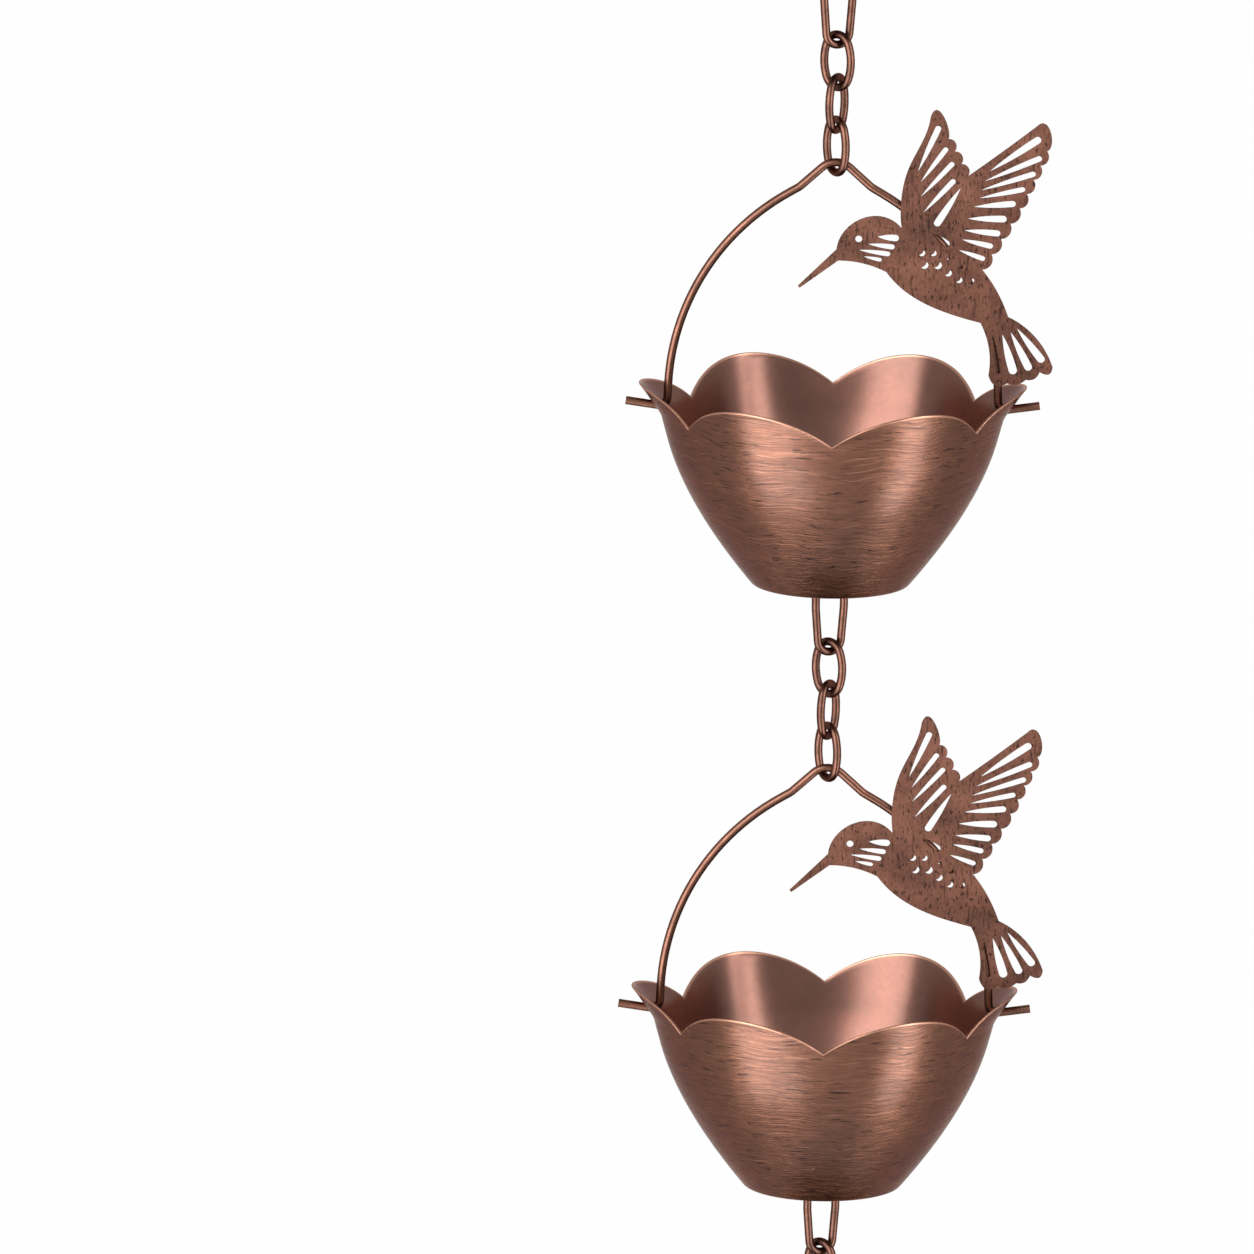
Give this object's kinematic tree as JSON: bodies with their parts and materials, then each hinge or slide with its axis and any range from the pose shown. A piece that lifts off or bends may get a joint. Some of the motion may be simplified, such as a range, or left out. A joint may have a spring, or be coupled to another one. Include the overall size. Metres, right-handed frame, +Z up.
{
  "type": "rain chain",
  "caption": "Hanging rain chain: petal-rimmed metal cups on wire bails with flat pierced birds, joined by oval links under a gutter hook.",
  "frame": {"origin": "midway between the hook's two sleeves, level with the underside of their inner ends, where they rest on the gutter", "axes": "+Z up along the hanging chain, +X towards the right sleeve and the ears of the cups, -Y towards the front"},
  "size_m": [0.1584, 0.1214, 2.5763],
  "materials": {
    "cup": "brushed antique copper",
    "bird": "mottled antique copper",
    "wire": "smooth antique copper",
    "hook": "smooth antique copper",
    "sleeve": "dull antique copper"
  },
  "bodies": {
    "hook": {"hook_arm_left": "hook", "hook_arm_right": "hook", "hook_sleeve_left": "sleeve", "hook_sleeve_right": "sleeve", "hook_clasp": "hook"},
    "chain_01": {"links_01": "wire"},
    "hanger_01": {"bail_01": "wire", "bird_01": "bird"},
    "bowl_01": {"cup_01": "cup", "loop_01": "wire"},
    "chain_02": {"links_02": "wire"},
    "hanger_02": {"bail_02": "wire", "bird_02": "bird"},
    "bowl_02": {"cup_02": "cup", "loop_02": "wire"},
    "chain_03": {"links_03": "wire"},
    "hanger_03": {"bail_03": "wire", "bird_03": "bird"},
    "bowl_03": {"cup_03": "cup", "loop_03": "wire"},
    "chain_04": {"links_04": "wire"},
    "hanger_04": {"bail_04": "wire", "bird_04": "bird"},
    "bowl_04": {"cup_04": "cup", "loop_04": "wire"},
    "chain_05": {"links_05": "wire"},
    "hanger_05": {"bail_05": "wire", "bird_05": "bird"},
    "bowl_05": {"cup_05": "cup", "loop_05": "wire"},
    "chain_06": {"links_06": "wire"},
    "hanger_06": {"bail_06": "wire", "bird_06": "bird"},
    "bowl_06": {"cup_06": "cup", "loop_06": "wire"},
    "chain_07": {"links_07": "wire"},
    "hanger_07": {"bail_07": "wire", "bird_07": "bird"},
    "bowl_07": {"cup_07": "cup", "loop_07": "wire"},
    "chain_08": {"links_08": "wire"},
    "hanger_08": {"bail_08": "wire", "bird_08": "bird"},
    "bowl_08": {"cup_08": "cup", "loop_08": "wire"},
    "chain_09": {"links_09": "wire"},
    "hanger_09": {"bail_09": "wire", "bird_09": "bird"},
    "bowl_09": {"cup_09": "cup", "loop_09": "wire"},
    "chain_10": {"links_10": "wire"},
    "hanger_10": {"bail_10": "wire", "bird_10": "bird"},
    "bowl_10": {"cup_10": "cup", "loop_10": "wire"},
    "chain_11": {"links_11": "wire"},
    "hanger_11": {"bail_11": "wire", "bird_11": "bird"},
    "bowl_11": {"cup_11": "cup", "loop_11": "wire"}
  },
  "joints": [
    {"name": "chain_swing_01", "type": "hinge", "parent": "hook", "child": "chain_01", "pos_m": [0, 0, -0.09019], "axis": [1, 0, 0], "range_deg": [-35, 35]},
    {"name": "hanger_swing_01", "type": "hinge", "parent": "chain_01", "child": "hanger_01", "pos_m": [0, 0, -0.14714], "axis": [-1, 0, 0], "range_deg": [-35, 35]},
    {"name": "bowl_tilt_01", "type": "hinge", "parent": "hanger_01", "child": "bowl_01", "pos_m": [0, 0, -0.23725], "axis": [1, 0, 0], "range_deg": [-20, 20]},
    {"name": "chain_swing_02", "type": "hinge", "parent": "bowl_01", "child": "chain_02", "pos_m": [0, 0, -0.32375], "axis": [-0.766, 0.6428, 0], "range_deg": [-35, 35]},
    {"name": "hanger_swing_02", "type": "hinge", "parent": "chain_02", "child": "hanger_02", "pos_m": [0, 0, -0.37055], "axis": [1, 0, 0], "range_deg": [-35, 35]},
    {"name": "bowl_tilt_02", "type": "hinge", "parent": "hanger_02", "child": "bowl_02", "pos_m": [0, 0, -0.46066], "axis": [-1, 0, 0], "range_deg": [-20, 20]},
    {"name": "chain_swing_03", "type": "hinge", "parent": "bowl_02", "child": "chain_03", "pos_m": [0, 0, -0.54716], "axis": [0.766, -0.6428, 0], "range_deg": [-35, 35]},
    {"name": "hanger_swing_03", "type": "hinge", "parent": "chain_03", "child": "hanger_03", "pos_m": [0, 0, -0.59396], "axis": [-1, 0, 0], "range_deg": [-35, 35]},
    {"name": "bowl_tilt_03", "type": "hinge", "parent": "hanger_03", "child": "bowl_03", "pos_m": [0, 0, -0.68408], "axis": [1, 0, 0], "range_deg": [-20, 20]},
    {"name": "chain_swing_04", "type": "hinge", "parent": "bowl_03", "child": "chain_04", "pos_m": [0, 0, -0.77058], "axis": [-0.766, 0.6428, 0], "range_deg": [-35, 35]},
    {"name": "hanger_swing_04", "type": "hinge", "parent": "chain_04", "child": "hanger_04", "pos_m": [0, 0, -0.81738], "axis": [1, 0, 0], "range_deg": [-35, 35]},
    {"name": "bowl_tilt_04", "type": "hinge", "parent": "hanger_04", "child": "bowl_04", "pos_m": [0, 0, -0.90749], "axis": [-1, 0, 0], "range_deg": [-20, 20]},
    {"name": "chain_swing_05", "type": "hinge", "parent": "bowl_04", "child": "chain_05", "pos_m": [0, 0, -0.99399], "axis": [0.766, -0.6428, 0], "range_deg": [-35, 35]},
    {"name": "hanger_swing_05", "type": "hinge", "parent": "chain_05", "child": "hanger_05", "pos_m": [0, 0, -1.04079], "axis": [-1, 0, 0], "range_deg": [-35, 35]},
    {"name": "bowl_tilt_05", "type": "hinge", "parent": "hanger_05", "child": "bowl_05", "pos_m": [0, 0, -1.1309], "axis": [1, 0, 0], "range_deg": [-20, 20]},
    {"name": "chain_swing_06", "type": "hinge", "parent": "bowl_05", "child": "chain_06", "pos_m": [0, 0, -1.2174], "axis": [-0.766, 0.6428, 0], "range_deg": [-35, 35]},
    {"name": "hanger_swing_06", "type": "hinge", "parent": "chain_06", "child": "hanger_06", "pos_m": [0, 0, -1.2642], "axis": [1, 0, 0], "range_deg": [-35, 35]},
    {"name": "bowl_tilt_06", "type": "hinge", "parent": "hanger_06", "child": "bowl_06", "pos_m": [0, 0, -1.35432], "axis": [-1, 0, 0], "range_deg": [-20, 20]},
    {"name": "chain_swing_07", "type": "hinge", "parent": "bowl_06", "child": "chain_07", "pos_m": [0, 0, -1.44082], "axis": [0.766, -0.6428, 0], "range_deg": [-35, 35]},
    {"name": "hanger_swing_07", "type": "hinge", "parent": "chain_07", "child": "hanger_07", "pos_m": [0, 0, -1.48762], "axis": [-1, 0, 0], "range_deg": [-35, 35]},
    {"name": "bowl_tilt_07", "type": "hinge", "parent": "hanger_07", "child": "bowl_07", "pos_m": [0, 0, -1.57773], "axis": [1, 0, 0], "range_deg": [-20, 20]},
    {"name": "chain_swing_08", "type": "hinge", "parent": "bowl_07", "child": "chain_08", "pos_m": [0, 0, -1.66423], "axis": [-0.766, 0.6428, 0], "range_deg": [-35, 35]},
    {"name": "hanger_swing_08", "type": "hinge", "parent": "chain_08", "child": "hanger_08", "pos_m": [0, 0, -1.71103], "axis": [1, 0, 0], "range_deg": [-35, 35]},
    {"name": "bowl_tilt_08", "type": "hinge", "parent": "hanger_08", "child": "bowl_08", "pos_m": [0, 0, -1.80114], "axis": [-1, 0, 0], "range_deg": [-20, 20]},
    {"name": "chain_swing_09", "type": "hinge", "parent": "bowl_08", "child": "chain_09", "pos_m": [0, 0, -1.88764], "axis": [0.766, -0.6428, 0], "range_deg": [-35, 35]},
    {"name": "hanger_swing_09", "type": "hinge", "parent": "chain_09", "child": "hanger_09", "pos_m": [0, 0, -1.93444], "axis": [-1, 0, 0], "range_deg": [-35, 35]},
    {"name": "bowl_tilt_09", "type": "hinge", "parent": "hanger_09", "child": "bowl_09", "pos_m": [0, 0, -2.02455], "axis": [1, 0, 0], "range_deg": [-20, 20]},
    {"name": "chain_swing_10", "type": "hinge", "parent": "bowl_09", "child": "chain_10", "pos_m": [0, 0, -2.11105], "axis": [-0.766, 0.6428, 0], "range_deg": [-35, 35]},
    {"name": "hanger_swing_10", "type": "hinge", "parent": "chain_10", "child": "hanger_10", "pos_m": [0, 0, -2.15786], "axis": [1, 0, 0], "range_deg": [-35, 35]},
    {"name": "bowl_tilt_10", "type": "hinge", "parent": "hanger_10", "child": "bowl_10", "pos_m": [0, 0, -2.24797], "axis": [-1, 0, 0], "range_deg": [-20, 20]},
    {"name": "chain_swing_11", "type": "hinge", "parent": "bowl_10", "child": "chain_11", "pos_m": [0, 0, -2.33447], "axis": [0.766, -0.6428, 0], "range_deg": [-35, 35]},
    {"name": "hanger_swing_11", "type": "hinge", "parent": "chain_11", "child": "hanger_11", "pos_m": [0, 0, -2.38127], "axis": [-1, 0, 0], "range_deg": [-35, 35]},
    {"name": "bowl_tilt_11", "type": "hinge", "parent": "hanger_11", "child": "bowl_11", "pos_m": [0, 0, -2.47138], "axis": [1, 0, 0], "range_deg": [-20, 20]}
  ]
}
